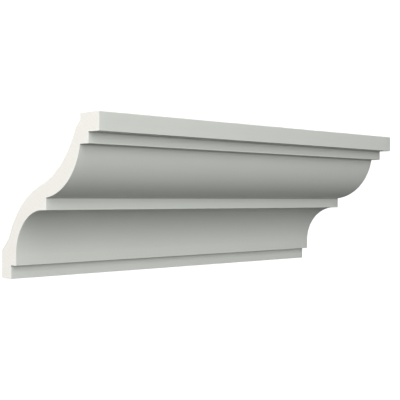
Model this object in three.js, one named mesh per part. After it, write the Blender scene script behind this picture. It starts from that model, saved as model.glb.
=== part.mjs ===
// A short length of cornice moulding, the kind that covers the corner between a wall and a ceiling.
// It is cast in one piece, as tall as it is deep, with both ends cut square.
//
// Frame: millimetres, +Z up, +X along the length, +Y into the wall.
// The wall's face is the plane y = 0, so the moulding stands out towards -Y.
// The origin is the middle of the wall pad, the flat strip that bears on the wall.

import * as THREE from 'three';

// Overall sizes. "Out" is a distance out from the wall, "up" a height above the lower edge.
const HEIGHT = 102;
const PROJECTION = 102;
const LENGTH = 300;

// Front members, from the lower edge to the ceiling.
const FOOT_FILLET_OUT = 11.5;
const FOOT_FILLET_HEIGHT = 8.8;
const COVE_LIP_OUT = 17;
const COVE_LIP_HEIGHT = 7;
const COVE_RADIUS = 28.9;
const MIDDLE_FILLET_OUT = 50;
const MIDDLE_FILLET_HEIGHT = 7.75;
const OVOLO_RADIUS = 38.5;
const OVOLO_TOP_OUT = 84;
const UPPER_FILLET_OUT = 92.1;
const UPPER_FILLET_HEIGHT = 6.8;
const FASCIA_HEIGHT = 11.3;

// Back: two flat pads at right angles, each with a 45 degree chamfer, and an ogee hollow between them.
const WALL_PAD_HEIGHT = 18;
const WALL_PAD_CHAMFER = 8.4;
const CEILING_PAD_WIDTH = 18;
const CEILING_PAD_LIP = 4;
const CEILING_PAD_CHAMFER = 4.6;
const HOLLOW_RADIUS = 58; // of both arcs of the ogee

const ARC_STEPS = 24; // half the number of facets in each arc

// Levels up the front, worked out from the member heights.
const COVE_SPRING_UP = FOOT_FILLET_HEIGHT + COVE_LIP_HEIGHT;
const COVE_TOP_UP = COVE_SPRING_UP + COVE_RADIUS;
const OVOLO_FOOT_UP = COVE_TOP_UP + MIDDLE_FILLET_HEIGHT;
const FASCIA_FOOT_UP = HEIGHT - FASCIA_HEIGHT;
const OVOLO_TOP_UP = FASCIA_FOOT_UP - UPPER_FILLET_HEIGHT;

// Adds the shorter arc of a given radius from one point to another; a left arc turns anticlockwise.
function addArc(shape, from, to, radius, left) {
  const chord = to.clone().sub(from);
  const rise = Math.sqrt(radius ** 2 - chord.lengthSq() / 4);
  const towardsCentre = new THREE.Vector2(-chord.y, chord.x).setLength(left ? rise : -rise);
  const centre = from.clone().add(to).multiplyScalar(0.5).add(towardsCentre);
  const start = from.clone().sub(centre).angle();
  const end = to.clone().sub(centre).angle();
  shape.absarc(centre.x, centre.y, radius, start, end, !left);
}

// The visible members, drawn from the lower edge up to the ceiling.
function drawFront(shape) {
  shape.lineTo(FOOT_FILLET_OUT, 0);
  shape.lineTo(FOOT_FILLET_OUT, FOOT_FILLET_HEIGHT);
  shape.lineTo(COVE_LIP_OUT, FOOT_FILLET_HEIGHT);
  shape.lineTo(COVE_LIP_OUT, COVE_SPRING_UP);

  const coveSpring = new THREE.Vector2(COVE_LIP_OUT, COVE_SPRING_UP);
  const coveTop = new THREE.Vector2(COVE_LIP_OUT + COVE_RADIUS, COVE_TOP_UP);
  addArc(shape, coveSpring, coveTop, COVE_RADIUS, false);
  shape.lineTo(MIDDLE_FILLET_OUT, COVE_TOP_UP);
  shape.lineTo(MIDDLE_FILLET_OUT, OVOLO_FOOT_UP);

  const ovoloFoot = new THREE.Vector2(MIDDLE_FILLET_OUT, OVOLO_FOOT_UP);
  const ovoloTop = new THREE.Vector2(OVOLO_TOP_OUT, OVOLO_TOP_UP);
  addArc(shape, ovoloFoot, ovoloTop, OVOLO_RADIUS, true);
  shape.lineTo(UPPER_FILLET_OUT, OVOLO_TOP_UP);
  shape.lineTo(UPPER_FILLET_OUT, FASCIA_FOOT_UP);
  shape.lineTo(PROJECTION, FASCIA_FOOT_UP);
  shape.lineTo(PROJECTION, HEIGHT);
}

// The ceiling pad, the ogee hollow and the wall pad, drawn from the ceiling down to the lower edge.
function drawBack(shape) {
  const padBack = PROJECTION - CEILING_PAD_WIDTH;
  const lipFoot = HEIGHT - CEILING_PAD_LIP;
  shape.lineTo(padBack, HEIGHT);
  shape.lineTo(padBack, lipFoot);

  const hollowTop = new THREE.Vector2(padBack - CEILING_PAD_CHAMFER, lipFoot - CEILING_PAD_CHAMFER);
  const hollowFoot = new THREE.Vector2(WALL_PAD_CHAMFER, WALL_PAD_HEIGHT + WALL_PAD_CHAMFER);
  const inflection = hollowTop.clone().lerp(hollowFoot, 0.5);
  shape.lineTo(hollowTop.x, hollowTop.y);
  addArc(shape, hollowTop, inflection, HOLLOW_RADIUS, false);
  addArc(shape, inflection, hollowFoot, HOLLOW_RADIUS, true);
  shape.lineTo(0, WALL_PAD_HEIGHT);
  shape.closePath();
}

function makeSection() {
  const shape = new THREE.Shape();
  shape.moveTo(0, 0);
  drawFront(shape);
  drawBack(shape);
  return shape;
}

// The section is drawn as (out, up) and carried along the length.
function makeMoulding() {
  const options = { depth: LENGTH, steps: 1, bevelEnabled: false, curveSegments: ARC_STEPS };
  const geometry = new THREE.ExtrudeGeometry(makeSection(), options);
  const primer = new THREE.MeshStandardMaterial({ color: 0xd8dbd4, roughness: 0.6, metalness: 0 });
  const moulding = new THREE.Mesh(geometry, primer);
  moulding.name = 'cornice_moulding';
  moulding.rotation.set(Math.PI / 2, -Math.PI / 2, 0); // out becomes -Y, up becomes +Z
  moulding.position.set(LENGTH / 2, 0, -WALL_PAD_HEIGHT / 2);
  return moulding;
}

const cornice = new THREE.Group();
cornice.add(makeMoulding());

export default cornice;
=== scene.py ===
import math

import bpy
import numpy as np
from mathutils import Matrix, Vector


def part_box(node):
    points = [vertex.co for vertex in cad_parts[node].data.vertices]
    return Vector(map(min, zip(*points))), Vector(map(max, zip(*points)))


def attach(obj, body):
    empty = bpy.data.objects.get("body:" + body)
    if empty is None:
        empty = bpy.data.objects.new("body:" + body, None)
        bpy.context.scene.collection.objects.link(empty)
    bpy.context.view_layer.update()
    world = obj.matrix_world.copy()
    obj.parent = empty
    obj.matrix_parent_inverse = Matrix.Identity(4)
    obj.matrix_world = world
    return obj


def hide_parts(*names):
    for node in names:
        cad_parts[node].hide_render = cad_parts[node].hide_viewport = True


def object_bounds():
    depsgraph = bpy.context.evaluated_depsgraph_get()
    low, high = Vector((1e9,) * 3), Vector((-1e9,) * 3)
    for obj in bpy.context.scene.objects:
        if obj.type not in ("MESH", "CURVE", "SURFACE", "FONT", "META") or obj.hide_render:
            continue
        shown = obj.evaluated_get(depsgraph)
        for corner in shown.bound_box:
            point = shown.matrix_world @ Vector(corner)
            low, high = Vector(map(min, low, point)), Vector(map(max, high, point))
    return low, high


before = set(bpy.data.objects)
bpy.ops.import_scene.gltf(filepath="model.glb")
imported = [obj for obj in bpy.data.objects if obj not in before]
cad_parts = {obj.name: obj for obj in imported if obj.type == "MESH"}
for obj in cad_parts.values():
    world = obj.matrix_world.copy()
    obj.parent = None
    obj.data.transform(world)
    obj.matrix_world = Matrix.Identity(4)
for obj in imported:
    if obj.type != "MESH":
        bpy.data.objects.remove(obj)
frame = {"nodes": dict(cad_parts)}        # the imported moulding, in metres
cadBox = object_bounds()
mm = 0.001               # in metres
print("frame loaded:", ", ".join(frame["nodes"]))


# the section, as distances out from the wall and up from the lower edge
moulding = {
    "node": "cornice_moulding",
    "footOut": 11.5 * mm, "footHeight": 8.8 * mm,          # plain strip on the wall
    "lipOut": 17.0 * mm, "lipHeight": 7.0 * mm,            # upright foot of the cove
    "coveRadius": 28.9 * mm,
    "middleOut": 50.0 * mm, "middleHeight": 7.75 * mm,     # fillet between cove and ovolo
    "ovoloRadius": 38.5 * mm, "ovoloTopOut": 84.0 * mm,
    "upperOut": 92.1 * mm, "upperHeight": 6.8 * mm,        # fillet under the fascia
    "fasciaHeight": 11.3 * mm,
    "wallPad": 18.0 * mm, "wallChamfer": 8.4 * mm,
    "ceilingPad": 18.0 * mm, "ceilingLip": 4.0 * mm, "ceilingChamfer": 4.6 * mm,
    "hollowRadius": 58.0 * mm,                             # both arcs of the ogee behind
    "frontArris": 1.0 * mm, "backArris": 2.4 * mm,         # width over which edges are eased
    "endArris": 0.12 * mm,                                 # radius where the saw came through
    "traceStep": 0.04 * mm,                                # spacing of the fine trace of the outline
    "widestGap": 1.1 * mm, "pointsPerRadian": 7.0,         # spacing of the mesh along the outline
    "columns": 460, "rows": 18,                            # lines of points over a cut end
    "stations": 41, "arrisSteps": 4,                       # rings along the length, and round an arris
    "edgeHold": 24,                                        # how soon a cut end leaves its short edges
    "rimStride": 3,                                        # the rim is measured to every third point
    "maskWidth": 1.6 * mm,                                 # spread of the edge masks
    "overspray": 6.0 * mm,                                 # how far primer drifts past the front
    # height on the back that each front corner faces across the cut end
    "facing": {
        "fasciaFoot": 95.0 * mm, "upperTop": 91.3 * mm, "upperFoot": 87.0 * mm, "ovoloTop": 84.3 * mm,
        "middleTop": 59.0 * mm, "middleFoot": 55.0 * mm, "coveTop": 53.0 * mm, "coveFoot": 26.0 * mm,
        "lipFoot": 14.0 * mm, "footTop": 10.2 * mm,
    },
}


# the named corners, anticlockwise from the foot, each with the radius of the stretch that leaves it
# 0 is straight, a positive radius turns left and a negative one right
def sectionCorners(m, height, projection):
    spring = m["footHeight"] + m["lipHeight"]
    coveTop = spring + m["coveRadius"]
    ovoloFoot = coveTop + m["middleHeight"]
    fasciaFoot = height - m["fasciaHeight"]
    ovoloTop = fasciaFoot - m["upperHeight"]
    padBack = projection - m["ceilingPad"]
    lipFoot = height - m["ceilingLip"]
    hollowTop = (padBack - m["ceilingChamfer"], lipFoot - m["ceilingChamfer"])
    hollowFoot = (m["wallChamfer"], m["wallPad"] + m["wallChamfer"])
    hollowMiddle = ((hollowTop[0] + hollowFoot[0]) / 2, (hollowTop[1] + hollowFoot[1]) / 2)
    return {
        "footFoot": (m["footOut"], 0.0, 0.0),
        "footTop": (m["footOut"], m["footHeight"], 0.0),
        "lipFoot": (m["lipOut"], m["footHeight"], 0.0),
        "coveFoot": (m["lipOut"], spring, -m["coveRadius"]),
        "coveTop": (m["lipOut"] + m["coveRadius"], coveTop, 0.0),
        "middleFoot": (m["middleOut"], coveTop, 0.0),
        "middleTop": (m["middleOut"], ovoloFoot, m["ovoloRadius"]),
        "ovoloTop": (m["ovoloTopOut"], ovoloTop, 0.0),
        "upperFoot": (m["upperOut"], ovoloTop, 0.0),
        "upperTop": (m["upperOut"], fasciaFoot, 0.0),
        "fasciaFoot": (projection, fasciaFoot, 0.0),
        "fasciaTop": (projection, height, 0.0),
        "padBack": (padBack, height, 0.0),
        "padLip": (padBack, lipFoot, 0.0),
        "hollowTop": (*hollowTop, -m["hollowRadius"]),
        "hollowMiddle": (*hollowMiddle, m["hollowRadius"]),
        "hollowFoot": (*hollowFoot, 0.0),
        "wallTop": (0.0, m["wallPad"], 0.0),
        "wallFoot": (0.0, 0.0, 0.0),
    }


# fine points from start up to end: a straight run, or the shorter arc about the radius's centre
def stretch(start, end, radius, step):
    chord = end - start
    half = np.hypot(*chord) / 2
    if radius == 0:
        count = round(2 * half / step)
        return start + chord * np.arange(count)[:, None] / count
    sweep = 2 * math.asin(half / radius)
    rise = math.copysign(math.sqrt(radius ** 2 - half ** 2), radius)
    centre = (start + end) / 2 + np.array([-chord[1], chord[0]]) / (2 * half) * rise
    first = math.atan2(start[1] - centre[1], start[0] - centre[0])
    count = round(abs(radius * sweep) / step)
    angle = first + sweep * np.arange(count) / count
    return centre + abs(radius) * np.stack([np.cos(angle), np.sin(angle)], axis=1)


# a closed row of values, each made the mean of those within half a width, the nearest counting most
def evenOut(values, width, step):
    reach = max(1, round(width / step / 2))
    kernel = np.bartlett(2 * reach + 3)[1:-1]              # a triangle without its zero ends
    wrapped = np.concatenate([values[-reach:], values, values[:reach]])
    return np.convolve(wrapped, kernel / kernel.sum(), mode="valid")


# the outline as a fine trace: the sharp one evened out, which eases its corners
# its bend, the turn of its direction a metre, gives the spacing of the mesh and the masks of the edges
def traceOutline(m, height, projection):
    corners = sectionCorners(m, height, projection)
    places = np.array([c[:2] for c in corners.values()])
    radii = [c[2] for c in corners.values()]
    step = m["traceStep"]
    parts = [stretch(a, b, r, step) for a, b, r in zip(places, np.roll(places, -1, axis=0), radii)]
    at = dict(zip(corners, np.cumsum([0] + [len(part) for part in parts[:-1]])))
    sharp = np.concatenate(parts)

    total = len(sharp)
    index = np.arange(total)
    padMiddle = (at["fasciaTop"] + at["padBack"]) / 2
    footMiddle = (at["wallFoot"] + total) / 2
    behind = (index > padMiddle) & (index < footMiddle)
    front, back = (np.stack([evenOut(axis, m[width], step) for axis in sharp.T], axis=1)
                   for width in ("frontArris", "backArris"))
    points = np.where(behind[:, None], back, front)

    along = np.roll(points, -1, axis=0) - np.roll(points, 1, axis=0)
    along /= np.hypot(*along.T)[:, None]
    turn = np.roll(along, -1, axis=0) - np.roll(along, 1, axis=0)
    bend = (along[:, 0] * turn[:, 1] - along[:, 1] * turn[:, 0]) / (2 * step)      # left is positive
    past = np.clip(np.minimum(index - at["fasciaTop"], total - index), 0, None) * step
    return at, {
        "out": points[:, 0],
        "up": points[:, 1],
        "normalOut": along[:, 1],
        "normalUp": -along[:, 0],
        "need": 1 / m["widestGap"] + m["pointsPerRadian"] * np.abs(bend),          # mesh points a metre
        "arris": evenOut(np.clip(bend, 0, None), m["maskWidth"], step) * m["maskWidth"],
        "crease": evenOut(np.clip(-bend, 0, None), m["maskWidth"], step) * m["maskWidth"],
        "primer": 1 - np.clip(past / m["overspray"], 0, 1),
    }


# places shared by two facing chains: the running total of both chains' needs, cut into equal parts
def facingPlaces(needA, needB, keysA, keysB, count):
    a = np.arange(len(needA))
    b = np.interp(a, keysA, keysB)
    total = np.cumsum(needA + np.interp(b, np.arange(len(needB)), needB) * np.gradient(b))
    picked = np.interp(np.linspace(total[0], total[-1], count), total, a)
    return picked, np.interp(picked, keysA, keysB)


# where the mesh has its points along the trace
# front and back share the columns of the cut end, ceiling pad and underside share its rows
def ringPlaces(m, at, trace):
    need = trace["need"]
    total = len(need)
    front = np.arange(at["fasciaTop"], -1, -1)
    back = np.arange(at["padBack"], at["wallFoot"] + 1)
    fall = -trace["up"][back]
    faced = [np.interp(-up, fall, np.arange(len(back))) for up in m["facing"].values()]
    keysFront = [0] + [at["fasciaTop"] - at[name] for name in m["facing"]] + [len(front) - 1]
    keysBack = [0] + faced + [len(back) - 1]
    frontAt, backAt = facingPlaces(need[front], need[back], keysFront, keysBack, m["columns"])

    top = np.arange(at["fasciaTop"], at["padBack"] + 1)
    foot = np.arange(total, at["wallFoot"] - 1, -1) % total
    keysTop, keysFoot = [0, len(top) - 1], [0, len(foot) - 1]
    topAt, footAt = facingPlaces(need[top], need[foot], keysTop, keysFoot, m["rows"])
    return np.concatenate([
        (at["fasciaTop"] - frontAt)[::-1],
        (at["fasciaTop"] + topAt)[1:-1],
        at["padBack"] + backAt,
        (total - footAt)[::-1][1:-1],
    ])


# the ring carried along the length, and drawn in along its normals over a quarter circle at each end
def carryRing(m, ring, low, high):
    half = (high.x - low.x) / 2 - m["endArris"]
    angle = np.linspace(0, math.pi / 2, m["arrisSteps"] + 1)[1:]
    reach = half + m["endArris"] * np.sin(angle)
    drawIn = m["endArris"] * (1 - np.cos(angle))
    straight = np.linspace(-half, half, m["stations"])
    x = np.concatenate([-reach[::-1], straight, reach])[:, None] + (low.x + high.x) / 2
    inset = np.concatenate([drawIn[::-1], np.zeros(len(straight)), drawIn])[:, None]
    out = ring["out"] - inset * ring["normalOut"]
    up = ring["up"] - inset * ring["normalUp"]
    return np.stack(np.broadcast_arrays(x, high.y - out, low.z + up), axis=-1)


# numbers of a ring's points laid out as a sheet over the cut end, inner points numbered from firstNew
# columns run from ceiling to foot, and rows from front to back
def endSheet(m, ringShift, firstNew):
    columns, rows = m["columns"], m["rows"]
    sheet = np.empty((columns, rows), int)
    sheet[:, 0] = np.arange(columns)[::-1]
    sheet[0, 1:-1] = columns + np.arange(rows - 2)
    sheet[:, -1] = columns + rows - 2 + np.arange(columns)
    sheet[-1, 1:-1] = (2 * columns + rows - 2 + np.arange(rows - 2))[::-1]
    sheet += ringShift
    sheet[1:-1, 1:-1] = firstNew + np.arange((columns - 2) * (rows - 2)).reshape(columns - 2, rows - 2)
    return sheet


# a sheet of places between four edges: straight lines from the front to the back
# a power of the way down bends them near the ceiling and the foot, to meet the two short edges
def stretchSheet(edges, hold):
    u = np.linspace(0, 1, len(edges))[:, None, None]
    spans = np.linalg.norm(np.diff(edges[0], axis=0), axis=1)
    v = (np.append(0, np.cumsum(spans)) / spans.sum())[None, :, None]
    across = (1 - v) * edges[:, :1] + v * edges[:, -1:]
    bends = (1 - u) ** hold * (edges[:1] - across[:1]) + u ** hold * (edges[-1:] - across[-1:])
    return across + bends


# the inner points of a cut end, and how far each is from the nearest point of the outline
def coverEnd(m, outline):
    sheet = endSheet(m, 0, 0)
    edges = outline[np.minimum(sheet, len(outline) - 1)]   # only the border is right, and used
    inner = stretchSheet(edges, m["edgeHold"])[1:-1, 1:-1].reshape(-1, 3)
    apart = inner[:, None, 1:] - outline[None, ::m["rimStride"], 1:]
    return inner, np.sqrt((apart ** 2).sum(-1).min(axis=1))


# four-sided faces between neighbouring lines of a sheet of point numbers
def sheetFaces(sheet):
    corners = [sheet[:-1, :-1], sheet[1:, :-1], sheet[1:, 1:], sheet[:-1, 1:]]
    return np.stack(corners, axis=-1).reshape(-1, 4)


# an object put into the scene, at the origin and unturned
def addObject(name, data):
    added = bpy.data.objects.new(name, data)
    bpy.context.collection.objects.link(added)
    return added


# the carried ring closed round into a skin, with a sheet over each cut end
def makeMoulding(m):
    low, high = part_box(m["node"])
    at, trace = traceOutline(m, high.z - low.z, high.y - low.y)
    places = ringPlaces(m, at, trace)
    index = np.arange(len(trace["out"]) + 1)
    ring = {name: np.interp(places, index, np.append(values, values[0]))
            for name, values in trace.items()}
    around = carryRing(m, ring, low, high)
    stations, count = around.shape[:2]
    total = stations * count

    leftInner, leftRim = coverEnd(m, around[0])
    rightInner, rightRim = coverEnd(m, around[-1])
    points = np.concatenate([around.reshape(-1, 3), leftInner, rightInner])
    numbers = np.arange(total).reshape(stations, count)
    skin = sheetFaces(np.concatenate([numbers, numbers[:, :1]], axis=1))
    leftCut = sheetFaces(endSheet(m, 0, total))[:, ::-1]
    rightCut = sheetFaces(endSheet(m, total - count, total + len(leftInner)))
    faces = np.concatenate([skin, leftCut, rightCut])
    isCut = np.arange(len(faces)) >= len(skin)

    blank = np.zeros(len(points) - total)
    marks = {name: np.concatenate([np.tile(ring[name], stations), blank])
             for name in ("arris", "crease", "primer")}
    marks["rim"] = np.concatenate([np.zeros(total), leftRim, rightRim])

    mesh = bpy.data.meshes.new("corniceMoulding")
    mesh.from_pydata(points.tolist(), [], faces.tolist())
    mesh.polygons.foreach_set("material_index", isCut.astype(np.int32))
    mesh.polygons.foreach_set("use_smooth", ~isCut)
    for name, values in marks.items():
        mesh.attributes.new(name, "FLOAT", "POINT").data.foreach_set("value", values.astype(np.float32))
    mesh.update()
    mesh.validate()

    piece = addObject("moulding_length", mesh)
    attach(piece, "root")
    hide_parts(m["node"])
    print(f"moulding: {len(points)} points, {2 * len(faces)} triangles")
    return piece


# a socket of a node tree: signs between wires and numbers add Math nodes
# node() adds a node of any other kind
class Wire:
    def __init__(self, tree, socket=None):
        self.tree = tree
        self.socket = socket

    # settings are set first, then each socket's value or link; one output comes back
    def node(self, kind, settings, sockets, output=0):
        made = self.tree.nodes.new("ShaderNode" + kind)
        for name, value in settings.items():
            setattr(made, name, value)
        for name, value in sockets.items():
            if isinstance(value, Wire):
                self.tree.links.new(value.socket, made.inputs[name])
            else:
                made.inputs[name].default_value = value
        return Wire(self.tree, made.outputs[output]) if made.outputs else None

    # another output of the node that this wire comes from
    def beside(self, output):
        return Wire(self.tree, self.socket.node.outputs[output])

    # one Math node on two wires or numbers
    def maths(self, operation, first, second):
        return self.node("Math", {"operation": operation}, {0: first, 1: second})

    def __add__(self, other):
        return self.maths("ADD", self, other)

    def __radd__(self, other):
        return self.maths("ADD", other, self)

    def __sub__(self, other):
        return self.maths("SUBTRACT", self, other)

    def __rsub__(self, other):
        return self.maths("SUBTRACT", other, self)

    def __mul__(self, other):
        return self.maths("MULTIPLY", self, other)

    def __rmul__(self, other):
        return self.maths("MULTIPLY", other, self)

    def __lt__(self, other):
        return self.maths("LESS_THAN", self, other)

    def __gt__(self, other):
        return self.maths("GREATER_THAN", self, other)


# 0 at the start of a range and 1 at its end, with an S between; the range may run downwards
def fade(value, start, end):
    ends = {"Value": value, "From Min": start, "From Max": end}
    return value.node("MapRange", {"interpolation_type": "SMOOTHSTEP"}, ends)


# noise less a half, so about zero, with lumps of one size and finer layers on them
# the lumps may be drawn out along the length
def cloud(place, size, layers, drawnOut=1.0):
    scale = (1 / (size * drawnOut), 1 / size, 1 / size)
    spot = place.node("Mapping", {}, {"Vector": place, "Scale": scale})
    return place.node("TexNoise", {}, {"Vector": spot, "Scale": 1.0, "Detail": layers}) - 0.5


# distance from the middle of the nearest cell of a random net, in spacings of that net
def cellNet(place, spacing):
    return place.node("TexVoronoi", {}, {"Vector": place, "Scale": 1 / spacing}, "Distance")


# round hollows, 1 in the middle and 0 from a radius on, in a share of the cells of a random net
def hollows(place, spacing, radius, share):
    apart = cellNet(place, spacing)
    lot = place.node("SeparateColor", {}, {0: apart.beside("Color")}, "Red")
    return fade(apart, radius / spacing, 0.0) * (lot < share)


# a colour made lighter or darker by a number that changes over the surface
def toned(colour, tone):
    return tone.node("VectorMath", {"operation": "SCALE"}, {0: colour, "Scale": tone})


# the first colour where a share is 0 and the second where it is 1
def mixed(share, first, second):
    factor, colourA, colourB, result = 0, 6, 7, 2          # the numbers of its colour sockets
    sockets = {factor: share, colourA: first, colourB: second}
    return share.node("Mix", {"data_type": "RGBA"}, sockets, result)


# a value that the mesh carries at its points
def mark(place, name):
    return place.node("Attribute", {"attribute_name": name}, {}, "Fac")


# a material with its shader, which takes its colour, roughness and height in metres from these wires
def finish(name, makeWires, settings):
    material = bpy.data.materials.new(name)
    material.use_nodes = True
    tree = material.node_tree
    tree.nodes.clear()
    place = Wire(tree).node("TexCoord", {}, {}, "Object")
    colour, roughness, height = makeWires(place, *settings)
    normal = place.node("Bump", {}, {"Strength": 1.0, "Distance": 1.0, "Height": height})
    look = {"Base Color": colour, "Roughness": roughness, "Normal": normal}
    place.node("OutputMaterial", {}, {"Surface": place.node("BsdfPrincipled", {}, look)})
    print("finish ready:", name)
    return material


# in these finishes a noise has its lump size, its finer layers and how far it is drawn out
# hollows have their spacing, their radius and the share of places that have one

# sprayed coat on the show faces
primer = {
    "colour": (0.734, 0.762, 0.709),
    "clouds": (38 * mm, 3.0), "cloudTone": 0.035,                 # thick and thin in the spraying
    "lines": (1.3 * mm, 1.0, 45.0), "lineTone": 0.022,            # faint lines along the mould
    "peel": (0.8 * mm, 1.0), "peelDepth": 0.005 * mm,             # orange peel
    # pits are darkened in colour as well as sunk: painted shade in the hollows
    "pits": (15 * mm, 0.45 * mm, 0.3), "pitDepth": 0.08 * mm, "pitTone": 0.10,
    "arrisTone": 0.03, "creaseTone": 0.18,                        # edges paler, partly rubbed primer and partly painted highlight; inner corners darker, painted shade
    "sheen": (3.5 * mm, 3.0), "roughness": 0.56, "roughSpread": 0.14,
    "rag": (3.5 * mm, 2.0), "ragSpread": 0.7,                     # ragged edge of the overspray
    "bareBelow": 0.35, "wholeAbove": 0.65,                        # spray for no coat, and for a whole one
}

# moulded skin of the back, left bare
bareSkin = {
    "colour": (0.80, 0.755, 0.665),
    "flow": (42 * mm, 4.0), "flowTone": 0.22,                     # marks of the rising foam
    "dimples": (5.5 * mm, 2.0), "dimpleDepth": 0.05 * mm, "dimpleTone": 0.09,
    "grain": (0.7 * mm, 2.0), "grainDepth": 0.02 * mm,
    # bubbles are darkened in colour as well as sunk: painted shade in the hollows
    "bubbles": (8 * mm, 1.1 * mm, 0.28), "bubbleDepth": 0.3 * mm, "bubbleTone": 0.18,
    "roughness": 0.85, "roughSpread": 0.12,
}


# primer where the mark and some noise say that the spray reached, bare skin elsewhere
# each tone is 1 with its noises, hollows and edges added or taken off, and each height is their depths
def skinWires(place, p, b):
    reached = mark(place, "primer") + cloud(place, *p["rag"]) * p["ragSpread"]
    coat = fade(reached, p["bareBelow"], p["wholeAbove"])

    uneven = cloud(place, *p["clouds"])
    lines = cloud(place, *p["lines"])
    pits = hollows(place, *p["pits"])
    # convex edges are lightened, partly worn primer and partly a painted highlight; inner corners are
    # darkened as painted shade
    edges = mark(place, "arris") * p["arrisTone"] - mark(place, "crease") * p["creaseTone"]
    coatTone = 1 + uneven * p["cloudTone"] + lines * p["lineTone"] - pits * p["pitTone"] + edges
    coatRough = p["roughness"] + cloud(place, *p["sheen"]) * p["roughSpread"]
    coatHeight = cloud(place, *p["peel"]) * p["peelDepth"] - pits * p["pitDepth"]

    flow = cloud(place, *b["flow"])
    dimples = cloud(place, *b["dimples"])
    bubbles = hollows(place, *b["bubbles"])
    skinTone = 1 + flow * b["flowTone"] + dimples * b["dimpleTone"] - bubbles * b["bubbleTone"]
    skinRough = b["roughness"] + dimples * b["roughSpread"]
    grain = cloud(place, *b["grain"]) * b["grainDepth"]
    skinHeight = dimples * b["dimpleDepth"] + grain - bubbles * b["bubbleDepth"]

    colour = mixed(coat, toned(b["colour"], skinTone), toned(p["colour"], coatTone))
    roughness = coat * coatRough + (1 - coat) * skinRough
    height = coat * coatHeight + (1 - coat) * skinHeight
    return colour, roughness, height


# the sawn ends: fine closed cells, a few larger voids, and a denser skin round the outline
foam = {
    "colour": (0.845, 0.827, 0.775),
    "clouds": (16 * mm, 3.0), "cloudTone": 0.03,
    "cellSize": 0.85 * mm, "cellTone": 0.06, "cellDepth": 0.05 * mm,
    # voids are darkened in colour as well as sunk: painted shade in the hollows
    "voids": (9 * mm, 0.8 * mm, 0.25), "voidDepth": 0.5 * mm, "voidTone": 0.14,
    "bladeCentre": (0.0, 40 * mm, -110 * mm),                     # arcs left by the saw, about this point
    "bladeStep": 2.3 * mm, "bladeWander": 1.5,
    "bladeTone": 0.012, "bladeDepth": 0.02 * mm,
    "waveTurn": 20.0,                                             # radians in a unit of the wave texture
    "rimWidth": 1.5 * mm, "rimTone": 0.03,
    "roughness": 0.82, "roughSpread": 0.12,
}


# cells and voids that fade out towards the rim, with rings a step apart about the blade's middle
# the tone is 1 with all of these added or taken off, and the height is their depths
def cutWires(place, f):
    inside = fade(mark(place, "rim"), 0.0, f["rimWidth"])
    uneven = cloud(place, *f["clouds"])
    cells = (cellNet(place, f["cellSize"]) - 0.5) * inside
    voids = hollows(place, *f["voids"]) * inside
    aboutBlade = place.node("VectorMath", {"operation": "SUBTRACT"}, {0: place, 1: f["bladeCentre"]})
    ringScale = math.tau / f["waveTurn"] / f["bladeStep"]
    rings = {"Vector": aboutBlade, "Scale": ringScale, "Distortion": f["bladeWander"]}
    blade = place.node("TexWave", {"wave_type": "RINGS", "rings_direction": "X"}, rings, "Fac") - 0.5

    tone = 1 + uneven * f["cloudTone"] + cells * f["cellTone"] + blade * f["bladeTone"]
    tone = tone - voids * f["voidTone"] + (1 - inside) * f["rimTone"]
    roughness = f["roughness"] + uneven * f["roughSpread"]
    height = cells * f["cellDepth"] + blade * f["bladeDepth"] - voids * f["voidDepth"]
    return toned(f["colour"], tone), roughness, height


# where the eye stands, from the middle of the wall pad, and its turn from square towards +X
viewpoint = {
    "across": -465.3 * mm, "out": 498.8 * mm,
    "turn": math.radians(45),
    "lens": 79.28, "sensor": 36.0,
}


# a camera that looks level, from halfway up the moulding
def makeCamera(v):
    low, high = cadBox
    data = bpy.data.cameras.new("eye")
    data.lens = v["lens"]
    data.sensor_width = v["sensor"]
    camera = addObject("eye", data)
    camera.location = (v["across"], -v["out"], (low.z + high.z) / 2)
    camera.rotation_euler = (math.pi / 2, 0, -v["turn"])
    bpy.context.scene.camera = camera
    print("camera at", [round(c, 4) for c in camera.location])


# white paper all round, and soft boxes about the piece
studio = {
    "floorDrop": 350 * mm, "floorSize": 40.0,
    "paper": (0.9, 0.9, 0.9, 1.0), "glow": 1.2,           # white paper that lights nothing else
    "air": (1.0, 1.0, 1.0, 1.0),
    "backdrop": 1.1, "fill": 0.091,                       # white behind, an even dim light on the piece
    "aim": (0.0, -60 * mm, 42 * mm), "boxDistance": 1.3, "boxSize": 0.9,
    # bearing from +X towards +Y and rise above level in degrees, then power in watts
    "softBoxes": {
        "keyBox": (245, 25, 8.88), "lowBox": (255, -5, 5.12),
        "endBox": (165, 15, 13.0), "rearBox": (25, 15, 14.0),
    },
}


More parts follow.
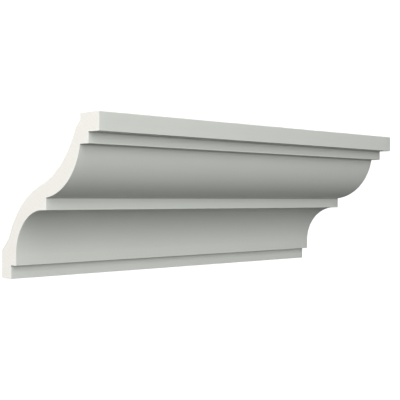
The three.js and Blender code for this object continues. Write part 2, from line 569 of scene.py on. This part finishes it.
# a square soft box, off from the aim along its bearing and rise, and facing it
def makeSoftBox(s, name, bearing, rise, power):
    light = bpy.data.lights.new(name, "AREA")
    light.shape = "SQUARE"
    light.size = s["boxSize"]
    light.energy = power
    turn, tilt = math.radians(bearing), math.radians(rise)
    away = Vector((math.cos(tilt) * math.cos(turn), math.cos(tilt) * math.sin(turn), math.sin(tilt)))
    box = addObject(name, light)
    box.location = Vector(s["aim"]) + away * s["boxDistance"]
    box.rotation_euler = away.to_track_quat("Z", "Y").to_euler()
    box.visible_camera = False


# a wide sheet of paper below the piece, which glows to the eye alone
def makeFloor(s):
    half = s["floorSize"] / 2
    level = cadBox[0].z - s["floorDrop"]
    corners = [(-half, -half, level), (half, -half, level), (half, half, level), (-half, half, level)]
    mesh = bpy.data.meshes.new("paleFloor")
    mesh.from_pydata(corners, [], [(0, 1, 2, 3)])
    material = bpy.data.materials.new("palePaper")
    material.use_nodes = True
    shader = material.node_tree.nodes["Principled BSDF"]
    shader.inputs["Base Color"].default_value = s["paper"]
    shader.inputs["Emission Color"].default_value = s["paper"]
    shader.inputs["Emission Strength"].default_value = s["glow"]
    mesh.materials.append(material)
    floor = addObject("pale_floor", mesh)
    floor.visible_diffuse = False
    floor.visible_glossy = False
    floor.visible_shadow = False


# the floor, the soft boxes, and air as bright as the fill, or as the backdrop where the eye sees it
def makeStudio(s):
    makeFloor(s)
    for name, place in s["softBoxes"].items():
        makeSoftBox(s, name, *place)
    world = bpy.data.worlds.new("studio")
    world.use_nodes = True
    world.node_tree.nodes.clear()
    seen = Wire(world.node_tree).node("LightPath", {}, {}, "Is Camera Ray")
    strength = s["fill"] + seen * (s["backdrop"] - s["fill"])
    air = seen.node("Background", {}, {"Color": s["air"], "Strength": strength})
    seen.node("OutputWorld", {}, {"Surface": air})
    bpy.context.scene.world = world
    bpy.context.scene.view_settings.view_transform = "Standard"
    print("studio ready:", ", ".join(s["softBoxes"]))


makeCamera(viewpoint)
piece = makeMoulding(moulding)
piece.data.materials.append(finish("primedSkin", skinWires, [primer, bareSkin]))
piece.data.materials.append(finish("cutFoam", cutWires, [foam]))
makeStudio(studio)
